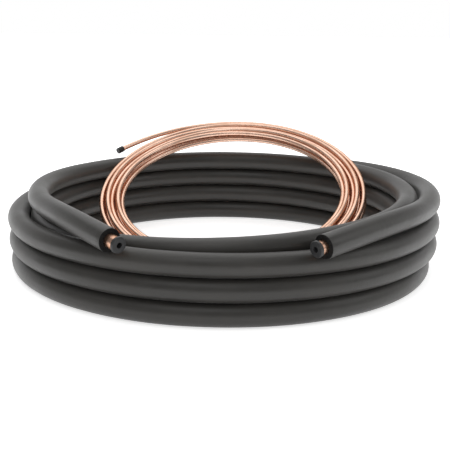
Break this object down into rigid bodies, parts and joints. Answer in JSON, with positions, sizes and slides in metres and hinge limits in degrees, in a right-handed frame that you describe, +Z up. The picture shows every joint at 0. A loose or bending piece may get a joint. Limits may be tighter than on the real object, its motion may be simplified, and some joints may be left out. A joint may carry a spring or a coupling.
{
  "type": "copper line set coil",
  "caption": "Foam-sleeved copper suction tube wound in a low ring with plugged ends, and a bare copper liquid tube wound in a flat ring that leans inside it.",
  "frame": {"origin": "the sleeved coil's axis at floor level", "axes": "+Z up along the coil's axis, -Y to the front where the two sleeved ends lie on top, +X to the right"},
  "size_m": [0.8022, 0.8017, 0.222],
  "materials": {
    "copper": "bright drawn copper",
    "foam": "closed-cell elastomeric foam, matte charcoal",
    "plug_rubber": "moulded rubber, dark grey",
    "cap_plastic": "moulded plastic, black"
  },
  "bodies": {
    "root": {"suction_tube": "copper", "suction_insulation": "foam", "suction_plug_left": "plug_rubber", "suction_plug_right": "plug_rubber", "liquid_tube": "copper", "liquid_cap_loose": "cap_plastic", "liquid_cap_tucked": "cap_plastic"}
  },
  "joints": []
}
